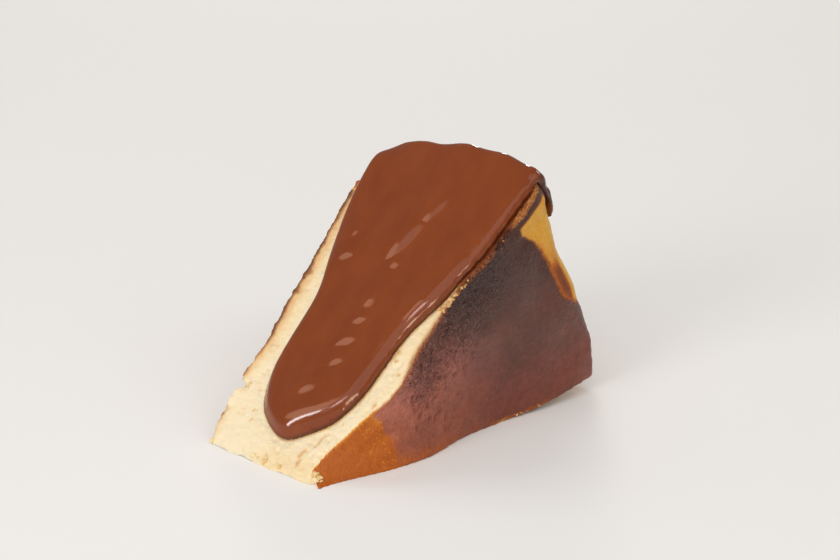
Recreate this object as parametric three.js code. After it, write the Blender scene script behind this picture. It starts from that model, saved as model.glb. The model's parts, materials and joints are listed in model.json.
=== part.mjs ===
// A slice of burnt cheesecake lying on one cut face, with chocolate sauce poured over the other.
// Millimetres, +Z up. +X runs along the plate from the slice's tip to its rim, and the cake's own
// axis lies along Y: its burnt top faces -Y and its base faces +Y.
// The slice is worked out in cake coordinates: r from the cake's axis, phi up from the plate
// (0 on the lower cut face, SLICE_ANGLE on the upper one) and h up from the cake's base.
import * as THREE from "three";
import { mergeVertices } from "three/addons/utils/BufferGeometryUtils.js";

const degrees = THREE.MathUtils.degToRad;
const { lerp, smoothstep } = THREE.MathUtils;

// The whole cake: 18 cm across, cut in eight, sunk in the middle and high at the rim.
const CAKE_RADIUS = 90;
const SLICE_ANGLE = degrees(45);
// The sunk middle climbs between two radii, not quite alike along the two cuts: along the upper
// one the burnt skin is torn away at the tip.
const HOLLOW_LOWER = { centre: 38, rise: 9.5, from: -4, to: 30 };
const HOLLOW_UPPER = { centre: 34.5, rise: 11.2, from: 2, to: 34 };
const UNEVEN_UNTIL = [50, 78]; // farther out the two are alike
const CENTRE_HEIGHT = HOLLOW_LOWER.centre;
const RIM_RISE = 9.3; // the rim stands this much higher again
const RIM_RISE_FROM = 46;
const RIM_RISE_TO = 86;
const RIM_HEIGHT = HOLLOW_UPPER.centre + HOLLOW_UPPER.rise + RIM_RISE;
const RIM_FLARE = 2.2; // below the upper cut the side leans out from the base to the rim
const FLARE_H = [0, 40];
const FLARE_PHI = [degrees(28), degrees(45)];
const BASE_EDGE_RADIUS = 15; // round edge between base and side

// The top's outer edge: a crisp lip below, a broad pale shoulder where the paper was folded in, and
// a rounder lip again by the upper cut.
const LIP_RADIUS = 2;
const SHOULDER_RADIUS = 8.5;
const SHOULDER_GROWS = [degrees(5), degrees(31)];
const UPPER_LIP_RADIUS = 5;
const SHOULDER_SHRINKS = [degrees(26), degrees(40)];
// A flap of burnt skin stands by the upper cut. The pale skin behind it lies lower.
const FLAP_DROP = 1.8;
const FLAP_DROP_R = [70, 81];
const FLAP_DROP_GROWS = [degrees(8), degrees(34)];
const FLAP_EDGE = [degrees(39.5), degrees(42.5)];

// Creases that the baking paper pressed into the side: angle, half width and depth. They are
// deepest halfway up and almost gone at the rim.
const PAPER_CREASES = [
  { at: degrees(6), half: degrees(2.6), depth: 1.4 },
  { at: degrees(18.5), half: degrees(2.6), depth: 2.2 },
  { at: degrees(28), half: degrees(3.4), depth: 1.2 },
  { at: degrees(37), half: degrees(2.8), depth: 1.5 },
];
const CREASE_FADE_H = [26, 50];
const CREASE_AT_RIM = 0.3;

// Marks of cutting and handling.
const LOWER_LIFT = 4.2; // the burnt rim's lower corner curls up off the plate
const LOWER_LIFT_R = [58, 90];
const LOWER_LIFT_H = [30, RIM_HEIGHT];
const BASE_NOTCH = { at: 17.5, half: 1.3, depth: 2.3, from: degrees(33) };
const BASE_PROUD = { from: 2, to: 19, until: 32, by: 1.1 }; // the base bulges by the notch, where crust broke off
const TIP_NOTCH = { below: 2, half: 1.6, depth: 2.2 }; // parts the crust's tip from the crumb
const CUT_WAVE = 0.7; // the upper cut face's hollows, their length and width
const CUT_WAVE_LENGTH = 24;
const SKIN_WAVE = 0.9; // the burnt skin's hollows and their length
const SKIN_WAVE_LENGTH = 19;
const FADE = 6; // how fast a cut face's shaping dies away inside the slice

// The sauce: outlines from its nose near the tip to the rim, as (r, h) on the upper cut face.
const SAUCE_BASE_SIDE = [
  [8.2, 21.5],
  [8.6, 19.3],
  [10.5, 15.3],
  [14.6, 10.6],
  [24.6, 7.6],
  [44, 9.2],
  [56, 6.6],
  [74, 2.9],
  [90, 3],
];
const SAUCE_TOP_SIDE = [
  [8.2, 21.5],
  [9.2, 24.2],
  [12.6, 28.6],
  [16.6, 33],
  [24.6, 37],
  [36, 38.9],
  [47, 41.7],
  [60, 47.2],
  [90, 53.2],
];
const SAUCE_DEPTH = 2.6;
const SAUCE_EDGE = 3.2; // width of its rounded edge
// It gathers in a wavy roll where it turns down over the rim.
const SAUCE_AT_RIM = { at: 33, half: 19, more: 1.2, wave: 0.35, length: 13, from: 82 };
const SAUCE_GAP = 0.3; // clear of the cake's facets, and twice that on the creased side
const SAUCE_FOLLOWS_RIM_FROM = 70;
const SAUCE_TURN = 1.6; // length over which it turns down over the rim
const RUN_DOWN = 6.5; // how far it hangs down the side
const RUN_DOWN_WAVE = 1.8;
const RUN_DOWN_WAVE_LENGTH = 15;
const DRIP = { at: 48.6, half: 5.4, length: 9.5 };

// Mesh divisions.
const RADIAL_STEP = 3.2;
const NOTCH_STEP = 0.65;
const HEIGHT_STEPS = 20;
const ANGLE_STEPS = 30;
const SAUCE_STEPS = 26;
const SAUCE_RUN_STEPS = 7;
const SAUCE_CROSS_STEPS = 32;
const MERGE_MM = 1e-3;

const clamp01 = (x) => THREE.MathUtils.clamp(x, 0, 1);
const bump = (x) => (Math.abs(x) < 1 ? (1 + Math.cos(Math.PI * x)) / 2 : 0);
const cosineSteps = (n) => Array.from({ length: n + 1 }, (_, i) => (1 - Math.cos((Math.PI * i) / n)) / 2);
const evenSteps = (n) => Array.from({ length: n + 1 }, (_, i) => i / n);

// Soft hills and hollows between 0 and 1, wavelength given.
function waves(a, b, length) {
  const k = (2 * Math.PI) / length;
  const first = Math.sin(k * a + 1.3 * Math.sin(0.6 * k * b));
  const second = Math.sin(k * (0.7 * b - 0.4 * a) + 2.1);
  return (2 + first + second) / 4;
}

// The round of the top's outer edge at an angle.
function edgeRadius(phi) {
  const grown = lerp(LIP_RADIUS, SHOULDER_RADIUS, smoothstep(phi, ...SHOULDER_GROWS));
  return lerp(grown, UPPER_LIP_RADIUS, smoothstep(phi, ...SHOULDER_SHRINKS));
}

// How much lower the skin is than the flap beside it.
function behindFlap(r, phi) {
  const share = smoothstep(phi, ...FLAP_DROP_GROWS) * (1 - smoothstep(phi, ...FLAP_EDGE));
  return FLAP_DROP * share * smoothstep(r, ...FLAP_DROP_R);
}

function hollowHeight(r, { centre, rise, from, to }) {
  return centre + rise * smoothstep(r, from, to);
}

function topHeight(r, phi) {
  const uneven = (1 - phi / SLICE_ANGLE) * (1 - smoothstep(r, ...UNEVEN_UNTIL));
  const hollow = lerp(hollowHeight(r, HOLLOW_UPPER), hollowHeight(r, HOLLOW_LOWER), uneven);
  const rim = RIM_RISE * smoothstep(r, RIM_RISE_FROM, RIM_RISE_TO);
  const skin = SKIN_WAVE * waves(r, CAKE_RADIUS * phi, SKIN_WAVE_LENGTH);
  return hollow + rim - behindFlap(r, phi) - skin * smoothstep(r, 0, HOLLOW_LOWER.to);
}

function baseHeight(r, phi) {
  const notch = BASE_NOTCH.depth * bump((r - BASE_NOTCH.at) / BASE_NOTCH.half);
  const { from, to, until, by } = BASE_PROUD;
  const proud = by * smoothstep(r, from, from + 3) * (1 - smoothstep(r, to, until));
  return (notch - proud) * smoothstep(phi, BASE_NOTCH.from, SLICE_ANGLE);
}

// How far a quarter round of that radius stands back at a distance from the edge.
function roundedBy(radius, distance) {
  const left = 1 - clamp01(distance / radius);
  return radius * (1 - Math.sqrt(1 - left * left));
}

function sideRadius(phi, h) {
  const pressed = PAPER_CREASES.reduce((sum, c) => sum + c.depth * bump((phi - c.at) / c.half), 0);
  const creased = pressed * lerp(1, CREASE_AT_RIM, smoothstep(h, ...CREASE_FADE_H));
  const flared = CAKE_RADIUS + RIM_FLARE * smoothstep(h, ...FLARE_H) * smoothstep(phi, ...FLARE_PHI);
  return flared - creased - roundedBy(BASE_EDGE_RADIUS, h) - roundedBy(edgeRadius(phi), RIM_HEIGHT - h);
}

function tipRadius(h) {
  return TIP_NOTCH.depth * bump((CENTRE_HEIGHT - TIP_NOTCH.below - h) / TIP_NOTCH.half);
}

function cutHollow(r, h) {
  return CUT_WAVE * waves(r, h, CUT_WAVE_LENGTH) * smoothstep(r, 4, 20);
}

function place(r, phi, h) {
  return new THREE.Vector3(r * Math.cos(phi), -h, r * Math.sin(phi));
}

// A point of the slice's surface: s from tip to rim, t from base to top, p from lower to upper cut face.
function slicePoint(s, t, p) {
  const tip = tipRadius(t * CENTRE_HEIGHT);
  if (s === 0) return place(tip, 0, t * topHeight(0, 0));
  const straight = p * SLICE_ANGLE;
  const r = lerp(tip, sideRadius(straight, t * RIM_HEIGHT), s);
  const h = lerp(baseHeight(r, straight), topHeight(r, straight), t);
  const lift = LOWER_LIFT * smoothstep(r, ...LOWER_LIFT_R) * smoothstep(h, ...LOWER_LIFT_H);
  const up = (lift * (1 - p) ** FADE) / r;
  const down = (cutHollow(r, h) * p ** FADE) / r;
  return place(r, straight + up - down, h);
}

// A grid of points over two lists of steps, as triangles that face along (first step x second step).
function gridTriangles(first, second, pointAt) {
  const triangles = [];
  for (let i = 0; i + 1 < first.length; i++) {
    for (let j = 0; j + 1 < second.length; j++) {
      const a = pointAt(first[i], second[j]);
      const b = pointAt(first[i + 1], second[j]);
      const c = pointAt(first[i + 1], second[j + 1]);
      const d = pointAt(first[i], second[j + 1]);
      triangles.push([a, b, c], [a, c, d]);
    }
  }
  return triangles;
}

const turned = (triangles) => triangles.map(([a, b, c]) => [a, c, b]);

// A closed mesh from loose triangles: shared corners merged, and those that shrank to a line dropped.
function closedGeometry(triangles) {
  const loose = new THREE.BufferGeometry().setFromPoints(triangles.flat());
  const merged = mergeVertices(loose, MERGE_MM);
  const kept = [];
  for (let i = 0; i < merged.index.count; i += 3) {
    const [a, b, c] = [0, 1, 2].map((k) => merged.index.getX(i + k));
    if (a !== b && b !== c && c !== a) kept.push(a, b, c);
  }
  merged.setIndex(kept);
  merged.computeVertexNormals();
  return merged;
}

// Steps from tip to rim, closer together at the notch in the base.
function radialSteps() {
  const reach = CAKE_RADIUS - BASE_EDGE_RADIUS; // of the base
  const steps = [];
  let r = 0;
  while (r < reach - RADIAL_STEP / 2) {
    steps.push(r / reach);
    r += Math.abs(r - BASE_NOTCH.at) < 1.5 * BASE_NOTCH.half ? NOTCH_STEP : RADIAL_STEP;
  }
  return [...steps, 1];
}

function sliceGeometry() {
  const along = radialSteps();
  const upright = cosineSteps(HEIGHT_STEPS);
  const around = evenSteps(ANGLE_STEPS);
  return closedGeometry([
    ...gridTriangles(along, upright, (s, t) => slicePoint(s, t, 0)),
    ...turned(gridTriangles(along, upright, (s, t) => slicePoint(s, t, 1))),
    ...turned(gridTriangles(along, around, (s, p) => slicePoint(s, 0, p))),
    ...gridTriangles(along, around, (s, p) => slicePoint(s, 1, p)),
    ...gridTriangles(around, upright, (p, t) => slicePoint(1, t, p)),
  ]);
}

const splineOf = (points) => new THREE.SplineCurve(points.map(([r, h]) => new THREE.Vector2(r, h)));
const baseSide = splineOf(SAUCE_BASE_SIDE);
const topSide = splineOf(SAUCE_TOP_SIDE);

// How far the sauce hangs down the side at a height on the rim.
function runDown(h) {
  const wavy = RUN_DOWN_WAVE * Math.sin((2 * Math.PI * h) / RUN_DOWN_WAVE_LENGTH);
  const fromDrip = clamp01(Math.abs(h - DRIP.at) / DRIP.half);
  return RUN_DOWN + wavy + DRIP.length * Math.sqrt(1 - fromDrip * fromDrip);
}

// The sauce laid out flat, as (u, h): u is r on the cut face, and runs on down the side past the rim.
// f goes from the nose (0) to the rim (1) and on to the hanging edge (2); v from base side to top side.
function saucePoint(f, v) {
  const base = baseSide.getPoint(Math.min(f, 1));
  const flat = base.lerp(topSide.getPoint(Math.min(f, 1)), v);
  if (f > 1) flat.x += (f - 1) * runDown(flat.y);
  return flat;
}

function sauceOutline(alongSteps, crossSteps) {
  const sides = [0, 1].flatMap((v) => alongSteps.map((f) => saucePoint(f, v)));
  return [...sides, ...crossSteps.map((v) => saucePoint(2, v))];
}

// Where a flat sauce point lies over the cake, raised by a depth of sauce.
function onCake({ x: u, y: h }, depth) {
  const past = Math.max(0, u - CAKE_RADIUS);
  const phi = SLICE_ANGLE - past / CAKE_RADIUS;
  const rim = sideRadius(phi, h);
  const inset = (CAKE_RADIUS - rim) * smoothstep(u, SAUCE_FOLLOWS_RIM_FROM, CAKE_RADIUS);
  const r = past > 0 ? rim : u - inset;
  const hollow = past > 0 ? 0 : cutHollow(r, h);
  const turn = smoothstep(u, CAKE_RADIUS - SAUCE_TURN, CAKE_RADIUS + SAUCE_TURN);
  const facing = lerp(SLICE_ANGLE + Math.PI / 2, phi, turn);
  const lift = depth + SAUCE_GAP * (1 + turn);
  const point = place(r, phi - hollow / r, h);
  return point.add(new THREE.Vector3(Math.cos(facing), 0, Math.sin(facing)).multiplyScalar(lift));
}

function sauceGeometry() {
  const onFace = evenSteps(SAUCE_STEPS).map((x) => 1 - Math.cos((x * Math.PI) / 2));
  const nearRim = [1 - SAUCE_TURN / CAKE_RADIUS];
  const hanging = evenSteps(SAUCE_RUN_STEPS).slice(1).map((x) => 1 + Math.sin((x * Math.PI) / 2));
  const along = [...onFace.slice(0, -1), ...nearRim, 1, ...hanging].sort((a, b) => a - b);
  const across = cosineSteps(SAUCE_CROSS_STEPS);
  const outline = sauceOutline(along, across);
  const depthAt = (flat) => {
    const edge = Math.min(...outline.map((q) => q.distanceTo(flat)));
    const left = 1 - clamp01(edge / SAUCE_EDGE);
    const { at, half, more, wave, length, from } = SAUCE_AT_RIM;
    const gathered = more * bump((flat.y - at) / half) + wave * Math.sin((2 * Math.PI * flat.y) / length);
    return (SAUCE_DEPTH + gathered * smoothstep(flat.x, from, CAKE_RADIUS)) * Math.sqrt(1 - left * left);
  };
  const under = (f, v) => onCake(saucePoint(f, v), 0);
  const over = (f, v) => {
    const flat = saucePoint(f, v);
    return onCake(flat, depthAt(flat));
  };
  const below = gridTriangles(along, across, under);
  const above = turned(gridTriangles(along, across, over));
  return closedGeometry([...below, ...above]);
}

function piece(name, geometry, colour, roughness) {
  const material = new THREE.MeshStandardMaterial({ color: colour, roughness, metalness: 0 });
  const mesh = new THREE.Mesh(geometry, material);
  mesh.name = name;
  return mesh;
}

const cheesecake = new THREE.Group();
cheesecake.add(piece("cheesecake_slice", sliceGeometry(), 0xf0dcae, 0.7));
cheesecake.add(piece("chocolate_sauce", sauceGeometry(), 0x7a4028, 0.2));

// The origin is under the middle of the slice, on the plate.
const box = new THREE.Box3().setFromObject(cheesecake);
const middle = box.getCenter(new THREE.Vector3());
cheesecake.position.set(-middle.x, -middle.y, -box.min.z);

export default cheesecake;
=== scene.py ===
# %% [markdown]
# A slice of burnt cheesecake under chocolate sauce.
# The slice lies on one cut face. Its burnt top looks to the right, its base is at the back on the
# left, and sauce was poured over the upper cut face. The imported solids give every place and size.
# This lesson turns them into food: crumb, crust, burnt skin, a golden rim and wet chocolate.

# %% Load the frame
import json
import math

import bpy
import numpy as np
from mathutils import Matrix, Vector, noise
from mathutils.bvhtree import BVHTree
from mathutils.kdtree import KDTree

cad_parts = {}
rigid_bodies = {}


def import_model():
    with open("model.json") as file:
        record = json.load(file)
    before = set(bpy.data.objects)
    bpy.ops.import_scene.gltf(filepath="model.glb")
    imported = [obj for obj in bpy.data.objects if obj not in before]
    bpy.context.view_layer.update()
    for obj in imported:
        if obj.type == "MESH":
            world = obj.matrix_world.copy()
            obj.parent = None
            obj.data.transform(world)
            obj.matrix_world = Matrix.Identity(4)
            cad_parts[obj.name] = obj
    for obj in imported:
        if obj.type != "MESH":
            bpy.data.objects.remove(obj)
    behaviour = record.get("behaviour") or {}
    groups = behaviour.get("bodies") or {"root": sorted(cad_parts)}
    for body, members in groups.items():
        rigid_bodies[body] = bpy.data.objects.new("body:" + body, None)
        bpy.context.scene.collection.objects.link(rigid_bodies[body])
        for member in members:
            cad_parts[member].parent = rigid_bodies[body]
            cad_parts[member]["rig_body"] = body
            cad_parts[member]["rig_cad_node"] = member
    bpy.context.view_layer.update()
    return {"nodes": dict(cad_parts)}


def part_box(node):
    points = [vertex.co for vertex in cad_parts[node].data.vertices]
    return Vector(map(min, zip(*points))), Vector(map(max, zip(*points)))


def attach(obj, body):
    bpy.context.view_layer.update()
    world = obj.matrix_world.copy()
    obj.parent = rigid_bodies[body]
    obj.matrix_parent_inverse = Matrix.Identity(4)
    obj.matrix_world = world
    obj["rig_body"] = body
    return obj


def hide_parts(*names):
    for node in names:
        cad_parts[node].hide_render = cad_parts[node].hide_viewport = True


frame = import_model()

# %% [markdown]
# A cake is easiest to think of in its own coordinates: the distance from the cake's axis, the angle
# around it and the height over its base. Here the axis lies on the floor, along Y, at the slice's
# tip. All three are read off the solid, in millimetres and degrees.

# %% Measure the slice
MM = 0.001
SLICE_ANGLE = math.radians(45)
SWOLLEN_CRUMB = 1.1  # mm that the crumb stands out past the base where the crust broke off
slice_low, slice_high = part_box("cheesecake_slice")
tip_x = slice_low.x
base_y = slice_high.y - SWOLLEN_CRUMB * MM
print("axis at x", round(tip_x / MM, 1), "mm, base at y", round(base_y / MM, 1), "mm")


def cake_coordinates(points):
    """Radius in mm, angle in degrees and height over the base in mm of points in metres."""
    x, z = (points[:, 0] - tip_x) / MM, points[:, 2] / MM
    return np.hypot(x, z), np.degrees(np.arctan2(z, x)), (base_y - points[:, 1]) / MM


# %% [markdown]
# The camera comes first, because every look is judged through it. The photograph was taken with a
# long lens from the side of the burnt top, looking down about 21 degrees. The long lens keeps the
# slice's edges nearly parallel, so a short one set closer would look wrong however it is turned.

# %% Set up the camera
PITCH = math.radians(21.4)
TURN = math.radians(-49.3)
LENS = 85.0
SENSOR = 36.0
IMAGE_WIDTH, IMAGE_HEIGHT = 840, 560
CRUST_TIP_PIXEL = (318, 490)  # where the burnt tip of the slice is in the picture
CRUST_TIP_DISTANCE = 474.5  # mm along the line of sight
CRUST_TIP_HEIGHT = 38.3  # mm over the cake's base

focal_pixels = LENS / SENSOR * IMAGE_WIDTH
bpy.ops.object.select_all(action="DESELECT")
bpy.ops.object.camera_add(rotation=(math.pi / 2 - PITCH, 0, TURN))
camera = bpy.context.object
camera.name = "photo_camera"
camera.data.lens = LENS
camera.data.sensor_width = SENSOR
bpy.context.view_layer.update()
turn = camera.matrix_world.to_3x3()
right, up, back = (turn @ Vector(axis) for axis in ((1, 0, 0), (0, 1, 0), (0, 0, 1)))
across = (CRUST_TIP_PIXEL[0] - IMAGE_WIDTH / 2) / focal_pixels
down = (CRUST_TIP_PIXEL[1] - IMAGE_HEIGHT / 2) / focal_pixels
crust_tip = Vector((tip_x, base_y - CRUST_TIP_HEIGHT * MM, 0))
camera.location = crust_tip - (right * across - up * down - back) * CRUST_TIP_DISTANCE * MM
camera.data.clip_start = 10 * MM
bpy.context.scene.camera = camera
print("camera at", [round(c / MM) for c in camera.location], "mm")

# %% [markdown]
# The slice starts as a copy of the solid. Its flat facets would show, and its few vertices can't
# carry crumbs. Subdividing would keep the facets, and sculpting can't be repeated in a script. A
# voxel remesh covers the whole slice with even little squares, as a sculptor does before the detail
# comes, and a few rounds of smoothing turn knife-sharp edges into the soft ones of a cut cake.

# %% Helpers for modelling
MERGE_DISTANCE = 0.002 * MM
LEAST_WEIGHT = 0.002  # lower weights are left out of vertex groups


def only(piece):
    """Selects one object and nothing else."""
    bpy.ops.object.select_all(action="DESELECT")
    piece.select_set(True)
    bpy.context.view_layer.objects.active = piece


def modify(piece, kind, **settings):
    """Adds a modifier, sets it and applies it."""
    only(piece)
    modifier = piece.modifiers.new(kind.lower(), kind)
    for name, value in settings.items():
        setattr(modifier, name, value)
    bpy.ops.object.modifier_apply(modifier=modifier.name)


def group(piece, name, weights):
    """A vertex group from an array of weights."""
    made = piece.vertex_groups.new(name=name)
    for i in np.nonzero(weights > LEAST_WEIGHT)[0].tolist():
        made.add((i,), float(min(weights[i], 1.0)), "REPLACE")
    return made.name


def soften(piece, rounds, name="", weights=None):
    """Smooths a piece for some rounds, all over or by the weights of a new vertex group."""
    if weights is not None:
        name = group(piece, name, weights)
    modify(piece, "SMOOTH", factor=0.5, iterations=rounds, vertex_group=name)


def merged_copy(node, name):
    """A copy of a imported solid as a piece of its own, with its loose triangles joined."""
    only(frame["nodes"][node])
    bpy.ops.object.duplicate()
    piece = bpy.context.object
    bpy.ops.object.parent_clear(type="CLEAR_KEEP_TRANSFORM")
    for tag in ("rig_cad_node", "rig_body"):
        del piece[tag]
    piece.name = piece.data.name = name
    bpy.ops.object.mode_set(mode="EDIT")
    bpy.ops.mesh.select_all(action="SELECT")
    bpy.ops.mesh.remove_doubles(threshold=MERGE_DISTANCE)
    bpy.ops.object.mode_set(mode="OBJECT")
    piece.data.materials.clear()
    return piece


def points_of(piece):
    """The piece's vertices as an array, in metres."""
    flat = np.empty(len(piece.data.vertices) * 3, np.float32)
    piece.data.vertices.foreach_get("co", flat)
    return flat.reshape(-1, 3).astype(float)


# %% Copy the slice and give it an even skin of small faces
SLICE_VOXEL = 0.48 * MM
SLICE_SMOOTHING = 3
baked_slice = merged_copy("cheesecake_slice", "baked_slice")
modify(baked_slice, "REMESH", mode="VOXEL", voxel_size=SLICE_VOXEL, use_smooth_shade=True)
soften(baked_slice, SLICE_SMOOTHING)
print("slice:", len(baked_slice.data.vertices), "vertices")

# %% [markdown]
# Every colour and bump on the slice depends on which surface it is on and how far in from the
# others: the crust browns from the outside in. So each vertex gets its distance to the burnt top,
# the side, the base, the two cuts and the sauce. A nearest-face search on the solids gives them,
# once the slice's faces are sorted by the way they point.

# %% Sort the solid's faces by surface and measure to each
UPPER_CUT_NORMAL = Vector((-math.sin(SLICE_ANGLE), 0, math.cos(SLICE_ANGLE)))
ALONG_CUT = 0.93  # a face that points this much the way of a cut belongs to it
TIP_UNTIL = 15  # mm from the axis: up to here the top is twisted and faces the tip
SPLIT_RADIUS, SPLIT_HEIGHT = 3.5, 35.3  # mm: nearer the axis and lower than this is the tip's split
SIDE_FROM = 72  # mm from the axis: beyond this a face that points outwards is the side
TOP_FACING, TIP_FACING = 0.75, 0.4  # how much the top's faces point along -Y, and those at the tip
SIDE_FACING = 0.3  # how much the side's faces point outwards
BASE_FACING = 0.85  # how much the base's faces point along Y
solid = frame["nodes"]["cheesecake_slice"].data
sauce_solid = frame["nodes"]["chocolate_sauce"].data


def surface_of(face):
    """The name of the surface that a face of the solid belongs to."""
    normal = face.normal
    if normal.z < -ALONG_CUT:
        return "lower_cut"
    if normal.dot(UPPER_CUT_NORMAL) > ALONG_CUT:
        return "upper_cut"
    outward = Vector((face.center.x - tip_x, 0, face.center.z))
    if outward.length < SPLIT_RADIUS * MM and base_y - face.center.y < SPLIT_HEIGHT * MM:
        return "chip"
    if -normal.y > (TIP_FACING if outward.length < TIP_UNTIL * MM else TOP_FACING):
        return "top"
    if outward.length > SIDE_FROM * MM and normal.dot(outward.normalized()) > SIDE_FACING:
        return "side"
    return "base" if normal.y > BASE_FACING else "chip"


def nearest_tree(mesh, faces):
    """A tree that finds the nearest of some faces of a mesh."""
    return BVHTree.FromPolygons([v.co for v in mesh.vertices], [tuple(f.vertices) for f in faces])


def distances(tree, points):
    """Distance in mm from each point to a tree of faces."""
    return np.array([tree.find_nearest(p)[3] for p in points]) / MM


surfaces = {}
for face in solid.polygons:
    surfaces.setdefault(surface_of(face), []).append(face)
slice_points = points_of(baked_slice)
from_top, from_base, from_side, from_upper, from_lower = (
    distances(nearest_tree(solid, surfaces[name]), slice_points)
    for name in ("top", "base", "side", "upper_cut", "lower_cut")
)
from_sauce = distances(nearest_tree(sauce_solid, sauce_solid.polygons), slice_points)
radius, angle, height = cake_coordinates(slice_points)
print({name: len(faces) for name, faces in surfaces.items()})

# %% [markdown]
# The areas come next, each as a number from 0 to 1 for every vertex. Their borders are never clean
# curves on food, so a little noise is added to the distance before it is compared. All distances
# are in millimetres and all angles in degrees.

# %% Helpers for soft borders and noise
NOISE_SHIFT = Vector((7.3, 3.1, 5.7))  # moves the noise on, so that each seed gives another one


def smooth(x, low, high):
    """0 below low, 1 above high, with a soft passage between."""
    t = np.clip((x - low) / (high - low), 0, 1)
    return t * t * (3 - 2 * t)


def near(distance, full, none):
    """1 up to the first distance, 0 from the second."""
    return 1 - smooth(distance, full, none)


def uneven(points, size, seed):
    """Soft noise from about -1 to 1 with lumps of a size in mm."""
    shift = NOISE_SHIFT * seed
    return np.array([noise.noise(Vector(p) / (size * MM) + shift) for p in points])


wander = 0.7 * uneven(slice_points, 2.6, 1) + 0.3 * uneven(slice_points, 1.1, 2)
blotch = uneven(slice_points, 8, 4)
print("borders wander by up to", round(float(abs(wander).max()), 2))

# %% [markdown]
# The centre of the top is only caramel brown, out to a nearly round border. At the rim a golden
# shoulder shows where folded paper shielded it, and a flap of burnt skin ends it beside the cut.
# The skin is thin along the lower edge, where some of it was scraped off. A rope of crust stands up
# along the cut's burnt edge, and beside the notch the base has lost its crust.

# %% Mark the areas of the slice
CARAMEL_RADIUS = 21.7
GOLD_ANGLES = [16, 18.5, 21, 23, 30, 37, 41]
GOLD_RADII = [93, 86, 83, 81.7, 81.6, 80.8, 78.7]  # where gold begins at these angles
FLAP_ANGLE = 43.2
CRUST_LOST_FROM, CRUST_LOST_TO = 11, 19.5  # radii between which the base's crust broke off
ON_SURFACE = (0.3, 0.7)  # a vertex nearer than the first is on a surface, from the second it isn't
on_top, on_side, on_base, on_upper, on_lower = (
    near(distance, *ON_SURFACE)
    for distance in (from_top, from_side, from_base, from_upper, from_lower)
)
on_cut = np.maximum(on_upper, on_lower) * (1 - on_top)
bare = smooth(from_sauce, 0.3, 1.4)
resting = near(from_lower, 0.3, 1.2)
from_gold = radius - np.interp(angle, GOLD_ANGLES, GOLD_RADII) + 0.5 * wander
golden = smooth(from_gold, -0.3, 0.3) * near(angle, FLAP_ANGLE - 0.4, FLAP_ANGLE + 0.3)
centre = near(radius + 1.2 * wander, CARAMEL_RADIUS - 0.8, CARAMEL_RADIUS + 0.8)
burnt = np.maximum(on_top, on_side * near(from_top + 2.4 * wander, 0.6, 4.6))
burnt *= (1 - golden) * (1 - centre)
bare_rim = 0.3 * near(abs(radius - 37), 8, 18)  # how far the cream reaches past the cut's edge
crust_start = from_upper + 0.3 * wander - bare_rim
burnt *= smooth(crust_start, -0.25, 0.25)
scraped = near(from_lower + 1.1 * wander, 0.6, 1.2) * smooth(radius, 52, 58) * near(radius, 68, 76)
burnt *= 1 - 0.85 * scraped
burnt *= 1 - 0.7 * near(from_lower + 1.5 * wander, 0.5, 4.5) * near(radius, 28, 60)
rope_width = 0.5 + 0.7 * smooth(radius, 66, 82)
rope_reach = 0.15 + 0.4 * near(radius, 71, 76)
rope = near(from_top + 0.4 * wander, rope_width, rope_width + 0.5)
rope *= near(from_upper + 0.4 * wander, rope_reach, rope_reach + 0.45) * (1 - golden)
rope *= smooth(radius + 3 * wander, 52, 60)
top_edge = near(np.hypot(from_top, from_upper), 0.4, 1.6)
base_edge = near(np.hypot(from_base, from_upper), 0.5, 2.2)
floor_edge = near(np.hypot(radius, from_lower), 1.0, 4.0) * smooth(from_top, 1.5, 3.5)
worn_corner = near(np.hypot(radius, from_base), 1.5, 5.0)
crust_lost = smooth(radius + wander, CRUST_LOST_FROM, CRUST_LOST_FROM + 1)
crust_lost *= near(radius + wander, CRUST_LOST_TO - 1, CRUST_LOST_TO)
crust_lost *= near(from_upper + wander, 1.5, 4)
print("burnt", round(float(burnt.mean()), 2), "golden", round(float(golden.mean()), 3), "of all vertices")

# %% [markdown]
# Relief next. A knife leaves the crumb slightly lumpy with small pores, the burnt skin has fine
# bumps and pits, and the crust along the edges is ragged. Each is a Displace modifier, held to its
# own area by a vertex group, and applied. A bump in the material alone would leave the outline
# smooth, and the edges are what the eye reads first. Pores and pits are dips around seeded points.

# %% Helpers for relief
SEED = 11
rng = np.random.default_rng(SEED)


def raise_by(piece, weights, name, depth):
    """Moves the surface outwards by a depth in mm where the weights are 1."""
    modify(piece, "DISPLACE", strength=depth * MM, mid_level=0, vertex_group=group(piece, name, weights))


def roughen(piece, weights, name, size, depth, detail=2):
    """Pushes the surface in and out by cloudy noise, its lump size and depth in mm."""
    texture = bpy.data.textures.new(name, "CLOUDS")
    texture.noise_scale = size * MM
    texture.noise_depth = detail
    modify(piece, "DISPLACE", texture=texture, texture_coords="LOCAL", strength=depth * MM,
           mid_level=0.5, vertex_group=group(piece, name, weights))


def point_tree(points):
    """A tree that finds the nearest of some points."""
    tree = KDTree(len(points))
    for i, point in enumerate(points):
        tree.insert(point, i)
    tree.balance()
    return tree


def dips(points, likely, count, smallest, largest):
    """Weights of round dips at seeded points, picked where likely is high; radii in mm."""
    chosen = rng.choice(len(points), count, replace=False, p=likely / likely.sum())
    sizes = rng.uniform(smallest, largest, count)
    tree = point_tree(points[chosen])
    weights = np.zeros(len(points))
    for vertex, point in enumerate(points):
        _, i, distance = tree.find(point)
        weights[vertex] = max(0.0, 1 - (distance / MM / sizes[i]) ** 2) * sizes[i] / largest
    return weights


# %% Roughen the cut crumb
CRACKS = [  # radius and height of both ends of hairline cracks in the cut
    (9.6, 30.7, 10.6, 31.3), (10.6, 31.3, 11.9, 31.3), (11.9, 31.3, 13.6, 32.2),
]


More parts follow.
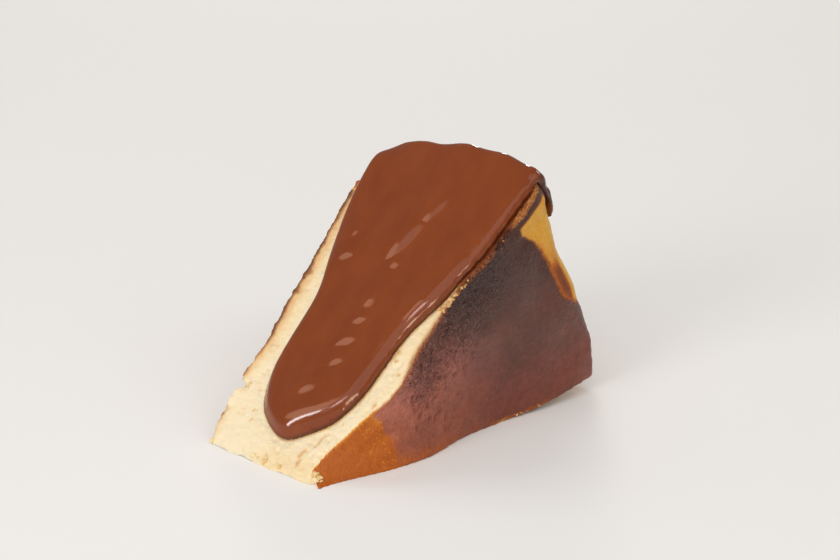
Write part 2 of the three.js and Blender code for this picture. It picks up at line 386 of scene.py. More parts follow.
def from_line(start_radius, start_height, end_radius, end_height):
    """Distance in mm of each vertex from a short line on the cut."""
    run = np.array((end_radius - start_radius, end_height - start_height))
    offset = np.stack((radius - start_radius, height - start_height), 1)
    share = np.clip(offset @ run / (run @ run), 0, 1)
    return np.linalg.norm(offset - share[:, None] * run, axis=1)


open_cut = on_cut * bare * (1 - resting)
pores = dips(slice_points, open_cut, count=80, smallest=0.5, largest=0.9)
cracked = np.zeros_like(radius)
for ends in CRACKS:
    cracked = np.maximum(cracked, near(from_line(*ends) + 0.4 * wander, 0.1, 0.5) * open_cut)
roughen(baked_slice, open_cut, "crumb_lumps", size=3.4, depth=0.75)
roughen(baked_slice, open_cut, "crumb_grain", size=1.0, depth=0.34)
raise_by(baked_slice, pores * open_cut, "crumb_pores", depth=-0.65)
raise_by(baked_slice, cracked, "crumb_cracks", depth=-0.45)
print("pores and cracks on", int((np.maximum(pores * open_cut, cracked) > 0.1).sum()), "vertices")

# %% Roughen the skin
blistered = on_top * (1 - centre) * (1 - golden)
by_strip = near(from_upper, 5, 22) * smooth(radius + 4 * wander, 24, 40) * near(radius, 62, 84)
bumpy = blistered * (0.15 + 0.85 * by_strip)
pitted = blistered * smooth(from_upper, 1, 4) * near(from_upper, 10, 24)
pitted *= smooth(radius, 26, 34) * near(radius, 46, 64)
pits = dips(slice_points, pitted, count=110, smallest=0.5, largest=0.85)
soften(baked_slice, 8, "skin", on_top * (1 - top_edge))
roughen(baked_slice, blistered, "skin_swell", size=5.5, depth=0.45)
roughen(baked_slice, bumpy, "skin_bumps", size=0.9, depth=1.1)
raise_by(baked_slice, pits * blistered, "skin_pits", depth=-0.60)
print("pits on", int((pits * blistered > 0.1).sum()), "vertices")

# %% Roughen the edges and the side
NOTCH_RADIUS = 17.5
raise_by(baked_slice, rope * bare, "rope_crust", depth=0.4)
roughen(baked_slice, (rope + 0.3 * top_edge) * bare, "ragged_top_crust", size=1.6, depth=0.9)
roughen(baked_slice, rope * bare, "rope_grain", size=0.75, depth=1.0, detail=1)
roughen(baked_slice, base_edge * bare * (1 - resting), "ragged_base_crust", size=3.2, depth=0.9, detail=3)
soften(baked_slice, 15, "floor_edge", floor_edge)
roughen(baked_slice, floor_edge * bare, "broken_tip", size=3.0, depth=1.8, detail=3)
roughen(baked_slice, (on_side + on_base) * (1 - resting), "baked_side", size=2.2, depth=0.45)
base_notch = np.exp(-((radius - NOTCH_RADIUS + 0.4 * wander) ** 2))
base_notch *= near(from_base, 1, 3) * near(from_upper, 2, 5)
raise_by(baked_slice, base_notch, "base_notch", depth=-1.0)
soften(baked_slice, 40, "worn_corner", worn_corner)
print("relief done on", len(baked_slice.data.polygons), "faces")

# %% [markdown]
# Browning goes in three layers, as in the oven. Toasting turns cream to tan and brown along the
# base. Caramelising turns the outside gold, amber and orange. Burning darkens the skin on top, more
# near the upper cut, and redder low down where it is thinner. Each layer is one number per vertex,
# stored on the mesh. The material mixes the colours from these and adds the fine mottling. The
# layers also carry painted light and shade: shade in cracks, pores and pits and between the skin's
# bumps, shadow under the sauce's edge, beside the rope and by the drip, a highlight on the golden
# rim, a sheen on the mauve skin, and light on the skin's sunk middle and under the burnt top.

# %% Work out how toasted each vertex is, with painted shade in the cut
SPECKS = [  # radius and height of both ends of browned specks in the cut, and their half width
    (5.8, 28.2, 8.0, 28.8, 1.1), (3.5, 28.9, 5.0, 29.1, 1.1), (37.2, 39.2, 38.8, 40.2, 1.3),
    (36.2, 40.4, 36.5, 40.9, 0.7), (33.0, 42.8, 33.6, 43.2, 0.7), (23.6, 40.8, 24.5, 41.2, 0.7),
    (17.0, 35.3, 18.0, 35.7, 0.6), (6.8, 19.0, 7.5, 19.8, 0.6), (12.1, 7.8, 12.9, 8.2, 0.6),
    (9.4, 8.4, 10.2, 9.0, 0.6), (29.7, 4.3, 30.4, 4.8, 0.5),
]
browned = (1 - crust_lost) * (0.7 + 0.3 * smooth(radius, 16, 40)) * (1 - 0.7 * worn_corner)
base_depth = from_base + 0.5 * wander
base_width = 0.8 + 0.9 * smooth(radius, 16, 34)
toast_and_shade = np.maximum.reduce([
    # The brown line along the base, the tan beside it, and the base itself.
    0.95 * np.exp(-((base_depth / base_width) ** 2)) * browned,
    0.45 * np.exp(-((base_depth / (2.2 * base_width)) ** 2)) * browned,
    0.5 * on_base * (1 - crust_lost),
    # Painted shade in the cut's cracks and pores.
    # A line of painted shade and stain under the sauce's edge.
    0.30 * cracked,
    0.08 * pores * open_cut,
    0.55 * near(from_sauce, 0.1, 0.7) * on_cut,
    # Painted warm light under the burnt top, as reflected from its crust.
    # At the edge of the strip, on the edge itself and at the tip.
    0.07 * near(from_top, 1.5, 6) * smooth(radius, 14, 30),
    0.24 * near(from_top, 0.3, 2.0) * near(abs(radius - 47), 6, 14) * on_cut,
    0.42 * on_top * smooth(crust_start, -0.9, 0.3) * (1 - centre),
    0.13 * near(radius, 3, 10) * near(from_upper, 0.5, 1.5) * smooth(height, 12, 24),
])
for *ends, half_width in SPECKS:
    speck = near(from_line(*ends) + 0.6 * wander, 0, half_width)
    toast_and_shade = np.maximum(toast_and_shade, 0.38 * speck * near(from_upper, 0.5, 1.5))
print("toasted on average", round(float(toast_and_shade.mean()), 2))

# %% Work out how caramelised each vertex is, with painted shadow and highlight
# Side and base are browner low down, towards the floor and at the corner between them.
crust_level = 0.36 + 0.14 * near(height, 4, 24) + 0.12 * near(angle, 6, 24) + 0.12 * blotch
crust_level += 0.15 * near(from_base + wander, 0.5, 8) + 0.05 * wander
crusted = np.maximum(
    near(from_side, 1.0, 2.4),
    on_base * smooth(from_upper, 0.1, 0.4) * (1 - crust_lost) * (1 - worn_corner),
)
# The shoulder is gold, with a darker streak, a paler rim that is painted highlight and an amber
# border to the burnt skin.
gold_border = near(from_gold, 0.4, 1.4) * near(angle, 33, 38) * near(from_top, 1, 3)
gold_streak = near(angle, 26.5, 30.5) * near(radius + 0.5 * wander, 84.6, 86)
painted_rim_highlight = smooth(radius + 0.5 * wander, 85.4, 87) * near(angle, 30, 40) * near(from_top, 2, 6)
shoulder_gold_and_highlight = 0.29 + 0.04 * near(angle, 30, 36) + 0.46 * gold_streak + 0.04 * wander
shoulder_gold_and_highlight -= 0.09 * painted_rim_highlight
shoulder_gold_and_highlight += (0.55 - shoulder_gold_and_highlight) * gold_border
# In the cut the crust shows as a line that is thicker at the rim, and the strip's middle has none.
crust_depth = 0.45 + 0.45 * smooth(radius, 26, 38) + 1.4 * smooth(radius, 46, 60)
crust_shows = np.maximum(near(radius, 20, 25), smooth(radius + wander, 58, 59.5))
# The caramel of the centre runs on a little way under the burnt skin.
under_border = near(radius + 1.2 * wander, CARAMEL_RADIUS + 1, CARAMEL_RADIUS + 3)
centre_level = 0.59 - 0.14 * near(from_upper, 0.5, 6)
caramel_and_painted_light = np.maximum.reduce([
    0.60 * np.exp(-((from_top / crust_depth) ** 2)) * crust_shows,
    crust_level * crusted,
    # Painted shadow: the strip between the rope of crust and the sauce is dark brown.
    0.80 * near(from_top, 2.2, 3.4) * smooth(radius + wander, 59, 60.5) * on_cut,
    under_border * on_top * smooth(crust_start, -1.2, 0.2) * centre_level,
    on_top * near(from_lower, 7, 10) * (0.60 - 0.24 * scraped),
])
caramel_and_painted_light += (shoulder_gold_and_highlight - caramel_and_painted_light) * golden * near(from_top, 4, 11)
# Beside the drip: a dark stain of sauce, and the drip's painted shadow on the gold.
stain_and_drip_shadow = smooth(radius + 0.6 * wander, 87.2, 88.6) * smooth(angle + wander, 38, 41)
stain_and_drip_shadow *= near(from_sauce, 1.2, 3.0)
caramel_and_painted_light = np.maximum(caramel_and_painted_light, stain_and_drip_shadow)
print("caramelised on average", round(float(caramel_and_painted_light.mean()), 2))

# %% Work out how burnt the skin is, with painted shade and light on it, and the tone of the rope
mid_rim = smooth(radius, 47, 67) * smooth(angle, 5, 21) * near(angle, 29, 40)
by_gold = smooth(angle, 23, 31)
scorch_and_painted_light = (
    0.30
    # Darker beside the upper cut, beside the gold and in the middle of the rim.
    + 0.55 * near(from_upper, 5, 24) * smooth(radius, 40, 66)
    + 0.12 * near(from_upper, 1, 12) * smooth(radius, 26, 38)
    + 0.34 * near(-from_gold, 0.5, 8) * by_gold
    + 0.12 * smooth(radius, 46, 64)
    + 0.24 * mid_rim
    + 0.07 * near(angle, 12, 22) * near(radius, 62, 78)
    # Painted light on the sunk middle, which is lit less.
    # Lighter towards the caramel centre and on the strip's edge.
    - 0.14 * near(abs(radius - 41), 5, 13) * smooth(from_upper, 8, 14)
    - 0.24 * near(radius, 24, 42)
    - 0.45 * near(crust_start, 0.3, 1.2)
    # Painted shade in the pits.
    + 0.16 * pits * blistered
)
# Redder low down, beside the gold, along the strip's edge and at the rim.
ruddy = np.maximum.reduce([
    near(from_lower, 4, 30),
    near(-from_gold, 1, 9) * by_gold,
    near(crust_start, 0.4, 1.5) * near(radius, 56, 64),
    0.4 * mid_rim,
    0.6 * smooth(radius, 67, 76) * smooth(angle, 14, 22),
])
rope_tone = 0.52 + 0.24 * smooth(radius, 77, 80) - 0.32 * near(abs(radius - 74), 2.5, 4.5)
rope_tone += 0.38 * near(radius, 55, 60) - 0.08 * near(radius, 62, 70)
edge_stain = (0.6 + 0.4 * wander) * np.exp(-((from_top / 0.75) ** 2)) * near(abs(radius - 46), 8, 16)
edge_stain *= near(from_upper, 0.4, 0.9)
print("scorched on average", round(float((scorch_and_painted_light * burnt).sum() / burnt.sum()), 2), "where burnt")

# %% Store the layers on the mesh
layers = {
    "toast_and_shade": toast_and_shade, "caramel_and_painted_light": caramel_and_painted_light, "burnt": burnt, "scorch_and_painted_light": scorch_and_painted_light, "ruddy": ruddy,
    "rope": np.maximum(rope, edge_stain), "rope_tone": rope_tone, "bumpy": np.maximum(bumpy, rope),
    "bubbled": centre * on_top * smooth(radius + wander, 13, 18),
}


def store(piece, name, values):
    """Keeps one number from 0 to 1 for each vertex, where a material can read it."""
    made = piece.data.attributes.new(name, "FLOAT", "POINT")
    made.data.foreach_set("value", np.clip(values, 0, 1).astype(np.float32))
    print(name, "up to", round(float(values.max()), 2))


for name, values in layers.items():
    store(baked_slice, name, values)

# %% [markdown]
# All materials are built with a few small functions. One adds a node, sets it and links it, and the
# others use it for what comes again and again. Colours are written as the hex values a paint shop
# would give, and turned to linear light once.

# %% A function for colours and some for nodes
PER_MM = 1 / MM
NOISE_SPREAD = 3  # most of a noise pattern keeps within a third of its range


def linear(hex_colour):
    """An sRGB hex value as linear red, green, blue and alpha."""
    channels = [int(hex_colour[i:i + 2], 16) / 255 for i in (0, 2, 4)]
    return [c / 12.92 if c <= 0.04045 else ((c + 0.055) / 1.055) ** 2.4 for c in channels] + [1.0]


def new_material(name, constants):
    """A material with only a Principled shader, those inputs set; with its node tree and shader."""
    made = bpy.data.materials.new(name)
    made.use_nodes = True
    shader = made.node_tree.nodes["Principled BSDF"]
    for socket, value in constants.items():
        shader.inputs[socket].default_value = value
    return made, made.node_tree, shader


def add(tree, kind, inputs=None, out=0, **settings):
    """Adds a node, sets its fields and inputs, links inputs that are sockets, returns an output."""
    made = tree.nodes.new(kind)
    for name, value in settings.items():
        setattr(made, name, value)
    for key, value in (inputs or {}).items():
        if isinstance(value, bpy.types.NodeSocket):
            tree.links.new(value, made.inputs[key])
        else:
            made.inputs[key].default_value = value
    return made.outputs[out]


def shades(level, stops):
    """A colour ramp along a level, from pairs of place and hex colour."""
    ramp = add(level.id_data, "ShaderNodeValToRGB", {0: level})
    elements = ramp.node.color_ramp.elements
    for i, (place, colour) in enumerate(stops):
        element = elements[i] if i < 2 else elements.new(place)
        element.position, element.color = place, linear(colour)
    return ramp


def cloudy(place, size, detail):
    """Noise with lumps of a size in mm."""
    inputs = {"Vector": place, "Scale": PER_MM / size, "Detail": detail}
    return add(place.id_data, "ShaderNodeTexNoise", inputs)


def maths(operation, first, *others):
    """The result of a math node, from a socket and other values or sockets."""
    return add(first.id_data, "ShaderNodeMath", dict(enumerate((first, *others))), operation=operation)


def remap(level, low, high, at_low, at_high):
    """A level between low and high, stretched to two other values."""
    limits = {"Value": level, 1: low, 2: high, 3: at_low, 4: at_high}
    return add(level.id_data, "ShaderNodeMapRange", limits)


def varied(level, pattern, amount):
    """A level with a noise pattern added, by about that amount up or down."""
    swing = maths("ADD", pattern, -0.5)
    return maths("MULTIPLY_ADD", swing, NOISE_SPREAD * amount, level)


def blend(share, first, second):
    """Two colours mixed: the first where the share is 0, the second where it is 1."""
    return add(share.id_data, "ShaderNodeMix", {0: share, 6: first, 7: second}, out=2, data_type="RGBA")


# %% [markdown]
# The cake is set custard: cream cheese, egg and sugar, baked hot and fast. Inside it is pale, moist
# and slightly translucent, so light goes in and comes out softened. Outside it has caramelised, and
# on top it has burnt: darker, with a dull sheen, partly painted into its mauve colour. Its
# refraction is close to water's.

# %% Material: baked custard, cut and burnt
CUSTARD_IOR = 1.36
CUT_ROUGHNESS, SKIN_ROUGHNESS = 0.55, 0.36
BUMP_DEPTH = 0.7 * MM
GAP_PAINTED_SHADE = 0.22  # how much darker the skin is between its bumps
GAP_DEPTH = 0.8  # how deep that is, next to the fine bumps
custard, tree, shader = new_material("baked_custard_cut_and_burnt", {
    "IOR": CUSTARD_IOR,
    "Subsurface Weight": 0.2,
    "Subsurface Radius": (1.0, 0.55, 0.25),
    "Subsurface Scale": 1.5 * MM,
})
place = add(tree, "ShaderNodeTexCoord", out="Object")
share = {name: add(tree, "ShaderNodeAttribute", out="Fac", attribute_name=name) for name in layers}
patches = cloudy(place, 6.0, 3.0)
mottle = cloudy(place, 1.5, 4.0)
grit = cloudy(place, 0.6, 3.0)
leather = cloudy(place, 0.7, 1.0)

# The crumb, from cream to brown.
toasted_and_shaded = varied(varied(share["toast_and_shade"], mottle, 0.06), patches, 0.03)
crumb_colour = shades(toasted_and_shaded, [
    (0.00, "f8e7c6"), (0.12, "f5dfb4"), (0.32, "e9c18c"), (0.55, "bd8a5a"), (0.78, "8a5735"),
    (1.00, "5a341d"),
])

# The caramelised outside, with small lighter bubbles near the centre's border.
bubbles = remap(grit, 0.55, 0.66, 0.0, -0.19)
bubbled = maths("MULTIPLY_ADD", bubbles, share["bubbled"], share["caramel_and_painted_light"])
caramelised_with_painted_light = varied(varied(bubbled, mottle, 0.05), grit, 0.04)
caramel_colour = shades(caramelised_with_painted_light, [
    (0.10, "f2d693"), (0.26, "e8ae3a"), (0.38, "d98f2a"), (0.50, "c57014"), (0.60, "b55a0c"),
    (0.72, "96491c"), (0.86, "6b361d"), (1.00, "47240f"),
])

# The burnt skin, with painted shade between its bumps and a painted sheen in its mauve parts.
islands = remap(leather, 0.36, 0.60, -0.5, 0.5)
gaps = maths("MULTIPLY", islands, share["bumpy"])
scorch_with_painted_gap_shade = maths("MULTIPLY_ADD", gaps, -GAP_PAINTED_SHADE, share["scorch_and_painted_light"])
scorched_with_painted_light = varied(varied(scorch_with_painted_gap_shade, patches, 0.12), mottle, 0.08)
# The mauve ramp is the dark brown skin with a painted grey sheen; the red ramp is redder skin.
mauve_skin_and_sheen = shades(scorched_with_painted_light, [(0.00, "c07a70"), (0.30, "945e54"), (0.65, "67473f"), (1.00, "553f3c")])
red_skin = shades(scorched_with_painted_light, [(0.00, "ad5f40"), (0.30, "8a4a3a"), (0.65, "663325"), (1.00, "4e2415")])
skin_colour = blend(varied(share["ruddy"], mottle, 0.15), mauve_skin_and_sheen, red_skin)

# The rope of crust, and all of them together.
roped = varied(varied(share["rope_tone"], mottle, 0.26), grit, 0.16)
rope_colour = shades(roped, [
    (0.05, "2e1813"), (0.30, "5c3020"), (0.50, "8f4f28"), (0.70, "b86f36"), (0.95, "d09350"),
])
sugared = remap(caramelised_with_painted_light, 0.05, 0.26, 0.0, 1.0)
baked_colour = blend(share["burnt"], blend(sugared, crumb_colour, caramel_colour), skin_colour)
colour = blend(share["rope"], baked_colour, rope_colour)
gloss = remap(share["burnt"], 0.0, 1.0, CUT_ROUGHNESS, SKIN_ROUGHNESS)
bumps = maths("MULTIPLY_ADD", gaps, GAP_DEPTH, maths("ADD", mottle, grit))
grain = remap(share["bumpy"], 0.0, 1.0, 0.4, 1.0)
relief = add(tree, "ShaderNodeBump", {"Height": bumps, "Strength": grain, "Distance": BUMP_DEPTH})
for socket, source in (("Base Color", colour), ("Roughness", gloss), ("Normal", relief)):
    tree.links.new(source, shader.inputs[socket])
baked_slice.data.materials.append(custard)
print(custard.name, "has", len(tree.nodes), "nodes")

# %% [markdown]
# The sauce is melted chocolate and cream. It ran down the cut face and set with a thick round edge.
# Its solid is a clean grid, so Subdivision Surface takes its facets away: the triangles are joined
# to squares first, because the surface flows along squares, and the foot of the edge is creased so
# that it keeps its place. A mirror shows every unevenness, so a voxel remesh and rounds of smoothing
# follow, as for the slice, and round the edge under as a thick liquid's edge is.

# %% Make the sauce from its solid
SQUARE_ANGLE = math.radians(60)
FOOT_ANGLE = math.radians(55)
SAUCE_VOXEL = 0.4 * MM
SAUCE_SWELL = 0.45 * MM  # put on before the smoothing, which takes it off the edges again
SAUCE_SMOOTHING = 40
poured_sauce = merged_copy("chocolate_sauce", "poured_sauce")
bpy.ops.object.mode_set(mode="EDIT")
bpy.ops.mesh.select_all(action="SELECT")
bpy.ops.mesh.tris_convert_to_quads(face_threshold=SQUARE_ANGLE, shape_threshold=SQUARE_ANGLE)
bpy.ops.mesh.select_all(action="DESELECT")
bpy.ops.mesh.select_mode(type="EDGE")
bpy.ops.mesh.edges_select_sharp(sharpness=FOOT_ANGLE)
bpy.ops.transform.edge_crease(value=1)
bpy.ops.object.mode_set(mode="OBJECT")
modify(poured_sauce, "SUBSURF", levels=2, render_levels=2)
modify(poured_sauce, "REMESH", mode="VOXEL", voxel_size=SAUCE_VOXEL, use_smooth_shade=True)
modify(poured_sauce, "DISPLACE", strength=SAUCE_SWELL, mid_level=0)
soften(poured_sauce, SAUCE_SMOOTHING)
print("sauce:", len(poured_sauce.data.polygons), "faces")

# %% Measure on the sauce
sauce_points = points_of(poured_sauce)
to_slice = distances(nearest_tree(solid, solid.polygons), sauce_points)
sauce_radius, sauce_angle, sauce_height = cake_coordinates(sauce_points)
on_wall = (to_slice > 0.6) & (to_slice < 1.3)
wall_tree = point_tree(sauce_points[on_wall])
from_edge = np.array([wall_tree.find(point)[2] for point in sauce_points]) / MM
thick = smooth(to_slice, 1.2, 2.0)
print("sauce up to", round(float(to_slice.max()), 1), "mm thick, edge of", int(on_wall.sum()), "vertices")

# %% Swell the nose into a dome
NOSE_REACH = 6.0  # mm in from the edge over which the nose slopes down
EDGE_OFFSET = 1.2  # mm from the middle of the wall to the edge of the sauce's face
fall = np.clip(1 - (from_edge - EDGE_OFFSET) / NOSE_REACH, 0, 1) ** 2
nose = near(sauce_radius, 14, 26) * thick
raise_by(poured_sauce, nose * (1 - fall), "swollen_nose", depth=0.9)
raise_by(poured_sauce, nose * fall, "sloping_nose", depth=-0.7)
soften(poured_sauce, 40, "nose", nose)
print("nose of", int((nose > 0.5).sum()), "vertices")

# %% [markdown]
# The edge shows how thick the sauce is. It set unevenly, bulges where the bare strip ends and leans
# on the rope of crust. Over the rim it hangs down the side, with a thin drip. The flat near the rim
# is smoothed most of all, because a dent there would show as a bright spot. Shrinkwrap then lays
# the underside on the cake, which is rough by now.

# %% Shape the edge and the drip
rim_face = smooth(sauce_radius, 62, 70) * near(sauce_radius, 90, 92) * smooth(from_edge, 2, 6)
soften(poured_sauce, 400, "rim_face", rim_face * smooth(to_slice, 1.6, 2.2))
wall = smooth(to_slice, 0.5, 0.8) * near(to_slice, 1.2, 2.2) * smooth(sauce_height, 22, 30)
roughen(poured_sauce, wall, "uneven_edge", size=1.7, depth=0.6, detail=0)
soften(poured_sauce, 3, "settled_edge", wall)
over_rim = smooth(sauce_radius, 91.5, 93.5) * near(sauce_angle, 44, 46.5)
roughen(poured_sauce, over_rim * thick, "uneven_rim", size=3.2, depth=0.5, detail=0)
bulge = np.exp(-(((sauce_radius - 53) / 5) ** 2)) * near(from_edge, 3, 7) * smooth(sauce_height, 36, 40)
raise_by(poured_sauce, bulge * thick, "edge_bulge", depth=0.7)
crust_side = smooth(sauce_radius, 60, 68) * near(sauce_radius, 88, 91) * smooth(sauce_height, 30, 38)
crust_side *= smooth(to_slice, 0.3, 0.6) * near(from_edge, 0.8, 2.4)
raise_by(poured_sauce, crust_side, "edge_by_crust", depth=0.6)
burnt_end = smooth(sauce_height, 41, 44)
hanging = near(sauce_angle, 41, 44) * burnt_end * smooth(to_slice, 0.8, 1.8)
raise_by(poured_sauce, hanging, "thin_drip", depth=-1.0)
soften(poured_sauce, 25, "drip_end", near(sauce_angle, 36, 39) * burnt_end)
print("uneven edge of", int((wall > 0.5).sum()), "vertices, drip of", int((hanging > 0.5).sum()))

# %% Lay the underside on the cake
UNDERSIDE_SINK = 0.1 * MM
underside = near(to_slice, 0.45, 0.7)
modify(poured_sauce, "SHRINKWRAP", target=baked_slice, wrap_method="NEAREST_SURFACEPOINT",
       wrap_mode="ON_SURFACE", offset=-UNDERSIDE_SINK,
       vertex_group=group(poured_sauce, "underside", underside))
print("underside of", int((underside > 0.5).sum()), "vertices")

# %% [markdown]
# It was poured in a zigzag, so a trail of folds runs down its middle: a low ridge that breaks into
# crescents, with fainter arcs to the side of the base. They are up to a millimetre high and sink in
# as they are smoothed, yet a wet surface shows them, because each slope mirrors another part of the
# room. They are worked out as a height for each vertex and raised by a Displace modifier, as a
# weight painter would do it.

# %% Raise the folds of the pour
FOLDS = [  # radius and height of both ends of each fold's light side, its width and its steepness
    (78.7, 33.7, 71.9, 30.3, 2.0, 0.34), (73.9, 28.7, 70.3, 27.3, 1.5, 0.32),
    (69.4, 29.6, 61.0, 26.4, 2.7, 0.36), (59.8, 28.9, 58.2, 27.6, 1.2, 0.35),
    (55.8, 27.4, 54.9, 26.1, 1.1, 0.35), (54.1, 27.5, 52.2, 25.6, 1.2, 0.35),
    (51.3, 29.3, 45.8, 26.1, 1.9, 0.32), (43.2, 27.7, 40.9, 25.1, 1.5, 0.31),
    (37.3, 27.4, 33.5, 23.6, 1.9, 0.31), (31.7, 27.9, 28.9, 24.7, 1.4, 0.35),
    (23.5, 25.1, 19.7, 20.8, 2.0, 0.38), (66.5, 13.9, 62.8, 11.4, 1.8, 0.32),
    (58.0, 13.8, 56.1, 11.2, 1.3, 0.35),
]
GENTLE_SIDE = 3  # a fold's other side is this many times wider
CREST = 0.7  # widths from the middle of the light side to the crest
RUN_OUT = 1.5  # widths that a fold runs on past each end
folds = np.zeros_like(sauce_radius)
for far_radius, far_height, near_radius, near_height, width, steepness in FOLDS:
    length = math.hypot(near_radius - far_radius, near_height - far_height)
    along_r, along_h = (near_radius - far_radius) / length, (near_height - far_height) / length
    along = (sauce_radius - far_radius) * along_r + (sauce_height - far_height) * along_h
    beside = (sauce_height - far_height) * -along_r + (sauce_radius - far_radius) * along_h
    within = np.clip(1 - ((along - length / 2) / (length / 2 + RUN_OUT * width)) ** 2, 0, 1)
    over = beside / width + CREST
    over = np.where(over < 0, over / GENTLE_SIDE, over)
    folds = np.maximum(folds, steepness * width * within * np.exp(-(over ** 2)))
tallest = folds.max()
on_face = smooth(to_slice, 1.6, 2.4) * near(sauce_radius, 78, 86)
raise_by(poured_sauce, folds / tallest * on_face, "folds", depth=tallest)
soften(poured_sauce, 6, "sunk_in", on_face)
roughen(poured_sauce, smooth(to_slice, 1.2, 2.2), "sauce_swell", size=13, depth=0.2, detail=0)
print(len(FOLDS), "folds up to", round(tallest, 2), "mm")

# %% Paint shade on the foot of the sauce and on the drip, which are deep in their own shade
painted_foot_shade = near(to_slice, 0.5, 1.2 + 0.8 * near(sauce_radius, 20, 34)) * near(sauce_radius, 84, 90)
painted_drip_shade = smooth(sauce_radius, 90, 91.5) * smooth(sauce_height, 43, 49) * near(sauce_angle, 44.2, 45.4)
store(poured_sauce, "painted_shade", np.maximum(painted_foot_shade, painted_drip_shade))

# %% [markdown]
# Chocolate with cream is opaque, warm brown and wet: a smooth mirror over a plain colour, with only
# faint streaks from the pour. Its foot and drip are painted darker, as painted shade. Its refraction
# is that of a sugar syrup with fat.

# %% Material: melted chocolate, poured
chocolate, tree, shader = new_material("melted_chocolate_poured", {"Roughness": 0.10, "IOR": 1.40})
place = add(tree, "ShaderNodeTexCoord", out="Object")
stretched = add(tree, "ShaderNodeMapping", {"Vector": place, "Scale": (0.5, 1.0, 0.5)})
poured = shades(cloudy(stretched, 5, 3.0), [(0.3, "7e3b1b"), (0.7, "86411d")])
painted_shade = add(tree, "ShaderNodeAttribute", out="Fac", attribute_name="painted_shade")
# The foot and the drip get a darker brown: painted shade.
tree.links.new(blend(painted_shade, poured, linear("522515")), shader.inputs["Base Color"])
poured_sauce.data.materials.append(chocolate)
print(chocolate.name, "has", len(tree.nodes), "nodes")

# %% [markdown]
# Cutting breaks crumbs off. Cream ones lie at the notch in the base, in the split at the tip and
# along the tip's broken edge. Browned ones lie where the bare strip ends, and crust ones on the rope
# of crust and along the golden border; a few of both are at the scraped lower edge. One crumb is
# modelled from a ball of twenty triangles whose corners are pushed about, and its copies are strewn
# by seeded chance, each turned and sized differently.

# %% Model one crumb and strew its copies
CRUMB_RADIUS = 0.5 * MM  # of a crumb of size 1
CRUMB_UNEVEN = 0.2 * MM
clear_of_floor = smooth(slice_points[:, 2] / MM, 0.4, 0.9)


def strew(name, likely, count, smallest, largest, seed):
    """Lays copies of one crumb on the slice where likely is high, sizes in mm, as one piece."""
    bpy.ops.object.select_all(action="DESELECT")
    bpy.ops.mesh.primitive_ico_sphere_add(subdivisions=1, radius=CRUMB_RADIUS)
    crumb = bpy.context.object
    bpy.ops.object.mode_set(mode="EDIT")
    bpy.ops.transform.vertex_random(offset=CRUMB_UNEVEN, seed=seed)
    bpy.ops.object.mode_set(mode="OBJECT")
    likely = likely * clear_of_floor
    copies = []
    for vertex in rng.choice(len(likely), count, replace=False, p=likely / likely.sum()).tolist():
        only(crumb)
        bpy.ops.object.duplicate()
        copy = bpy.context.object
        copy.location = baked_slice.data.vertices[vertex].co
        copy.rotation_euler = rng.uniform(0, math.tau, 3)
        copy.scale = (smallest + (largest - smallest) * rng.uniform() ** 2) * rng.uniform(0.6, 1.0, 3)
        copies.append(copy)
    only(crumb)
    bpy.ops.object.delete()
    for copy in copies:
        copy.select_set(True)
    bpy.context.view_layer.objects.active = copies[0]
    bpy.ops.object.join()
    bpy.ops.object.transform_apply(location=True, rotation=True, scale=True)
    joined = bpy.context.object
    joined.name = joined.data.name = name
    print(name, "of", count, "crumbs,", len(joined.data.polygons), "faces")
    return joined


notch_edge = np.exp(-(((radius - NOTCH_RADIUS) / 1.8) ** 2)) * near(from_base, 1, 3)
notch_edge *= near(from_upper, 0.5, 2)
strip_end = near(abs(radius - 57), 2, 6) * near(from_top, 0.6, 2.2) * near(from_upper, 0.4, 0.9) * bare
tip_split = near(np.hypot(radius - 2.6, height - 36.2), 1.4, 2.6) * near(from_upper, 0.8, 2.0)
broken_edge = near(radius, 1.0, 3.0) * near(from_upper, 0.4, 1.2) * smooth(from_top, 2, 5)
lower_flakes = on_top * near(from_lower, 0.6, 1.6) * smooth(radius, 54, 60) * near(radius, 66, 74)
gold_edge = golden * near(from_gold, 0.3, 1.0) * near(angle, 33, 38) * near(from_top, 1, 3)
cream_places = 0.5 * notch_edge + 2 * tip_split + 0.1 * broken_edge
browned_places = strip_end + 0.08 * lower_flakes
crust_places = 0.3 * rope * bare + 2.0 * gold_edge + 0.15 * lower_flakes
cream_crumbs = strew("cream_crumbs", cream_places, count=30, smallest=0.7, largest=2.2, seed=9)
browned_crumbs = strew("browned_crumbs", browned_places, count=40, smallest=0.5, largest=1.6, seed=3)
crust_crumbs = strew("crust_crumbs", crust_places, count=90, smallest=0.3, largest=0.8, seed=5)

# %% [markdown]
# Crumbs have the colours of what they broke from: pale custard, browned custard or crust. Each lot
# has two tones, mixed by a noise wider than a crumb, so that neighbours differ.

# %% Material: broken custard and broken crust
for piece, name, first, second in (
    (cream_crumbs, "baked_custard_broken", "f6e2b2", "e6c285"),
    (browned_crumbs, "baked_custard_browned", "e6bc84", "cf9a58"),
    (crust_crumbs, "caramelised_crust_broken", "8a4a26", "c98844"),
):
    broken, tree, shader = new_material(name, {"Roughness": 0.6, "IOR": CUSTARD_IOR})
    tones = cloudy(add(tree, "ShaderNodeTexCoord", out="Object"), 1.6, 3.0)
    tree.links.new(shades(tones, [(0.4, first), (0.65, second)]), shader.inputs["Base Color"])
    piece.data.materials.append(broken)
    print(broken.name, "has", len(tree.nodes), "nodes")

# %% [markdown]
# Plain pale floor and soft studio light. A large box hangs over the cut face, slightly to the left,
# and a fill stands before the burnt face. Wet chocolate mirrors whatever lights it, so the lights
# are sorted. Three more boxes and a lamp behind only light the matt surfaces, and aren't mirrored.
# The windows and glints do the opposite: they light nothing, and are only seen in the gloss of the
# sauce, on its nose and folds and along its shoulder, foot and rim.

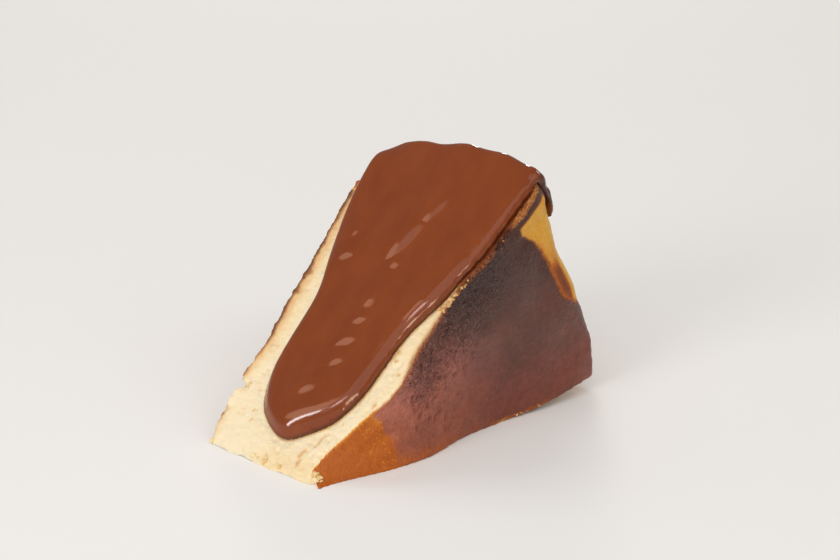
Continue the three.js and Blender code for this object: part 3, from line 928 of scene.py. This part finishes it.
# %% Floor
FLOOR_SIZE = 6  # metres
bpy.ops.object.select_all(action="DESELECT")
bpy.ops.mesh.primitive_plane_add(size=FLOOR_SIZE, location=(0, 0, -0.02 * MM))
floor = bpy.context.object
floor.name = "pale_floor"
paint, tree, shader = new_material("matt_white_paint", {
    "Base Color": linear("f8f8f8"),
    "Roughness": 0.9,
    "Specular IOR Level": 0.1,
})
floor.data.materials.append(paint)
print(floor.name, "of", FLOOR_SIZE, "metres")

# %% Lights
LIT_POINT = Vector((0, 0, 0.03))
WARM_WHITE = "fffaf2"


def soft_light(name, direction, distance, size, power, colour="ffffff",
               mirrored=True, lighting=True, tall=1):
    """An area light in a direction, facing the slice; distance and width in metres, power in watts.

    Mirrored lights are seen in gloss, lighting ones light matt surfaces; tall is height over width.
    """
    direction = Vector(direction).normalized()
    bpy.ops.object.light_add(type="AREA", location=LIT_POINT + direction * distance)
    light = bpy.context.object
    light.name = name
    light.rotation_euler = direction.to_track_quat("Z", "Y").to_euler()
    light.data.shape = "RECTANGLE"
    light.data.size = size
    light.data.size_y = tall * size
    light.data.energy = power
    light.data.color = linear(colour)[:3]
    light.visible_glossy = mirrored
    light.visible_diffuse = lighting


soft_light("box_overhead", (-0.62, -0.348, 0.704), 1.4, 1.58, 8.3, WARM_WHITE)
soft_light("box_fill", (-0.40, -0.15, 0.90), 1.4, 1.0, 1.4, WARM_WHITE, mirrored=False)
soft_light("box_left", (-0.95, 0.05, 0.35), 1.3, 0.5, 4.6, WARM_WHITE, mirrored=False)
soft_light("box_back", (0.30, 0.40, 0.87), 1.5, 0.6, 3.5, mirrored=False)
soft_light("fill_front", (0.10, -0.75, 0.65), 1.5, 0.8, 2.5)
soft_light("lamp_behind", (0.706, 0.607, 0.365), 1.2, 0.2, 1.8, "fff2e0", mirrored=False)
soft_light("window_nose", (-0.951, 0.193, 0.242), 1.3, 0.24, 3.4, lighting=False, tall=3.8)
soft_light("window_core", (-0.953, 0.193, 0.233), 1.25, 0.15, 5.8, lighting=False, tall=4.3)
soft_light("window_side", (-0.735, 0.353, 0.579), 1.35, 0.46, 2.5, "ffd8bc", lighting=False)
soft_light("window_shoulder", (-0.851, -0.155, 0.501), 1.3, 0.26, 2.4, "ffe4e6", lighting=False)
soft_light("foot_glint", (-0.66, -0.745, 0.15), 1.3, 0.4, 6.0, "ffe8c8", lighting=False)
soft_light("rim_glint", (0.76, 0.50, 0.23), 1.2, 0.03, 0.9, lighting=False, tall=10)
soft_light("corner_glint", (0.77, -0.18, 0.46), 1.2, 0.05, 2.1, lighting=False, tall=6)
world = bpy.data.worlds.new("pale_surround")
bpy.context.scene.world = world
world.use_nodes = True
world.node_tree.nodes["Background"].inputs["Color"].default_value = linear("f6f3f1")
world.node_tree.nodes["Background"].inputs["Strength"].default_value = 0.32
bpy.context.scene.view_settings.view_transform = "Standard"
print(len(bpy.data.lights), "lights")

# %% [markdown]
# Last, each piece is told which body it moves with, and the solids that the slice and the sauce replace
# are hidden.

# %% Join the pieces to the frame
for piece, node, slot in (
    (baked_slice, "cheesecake_slice", "baked_cheesecake"),
    (poured_sauce, "chocolate_sauce", "chocolate_sauce"),
):
    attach(piece, "root")
    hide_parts(node)
for piece in (cream_crumbs, browned_crumbs, crust_crumbs):
    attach(piece, "root")
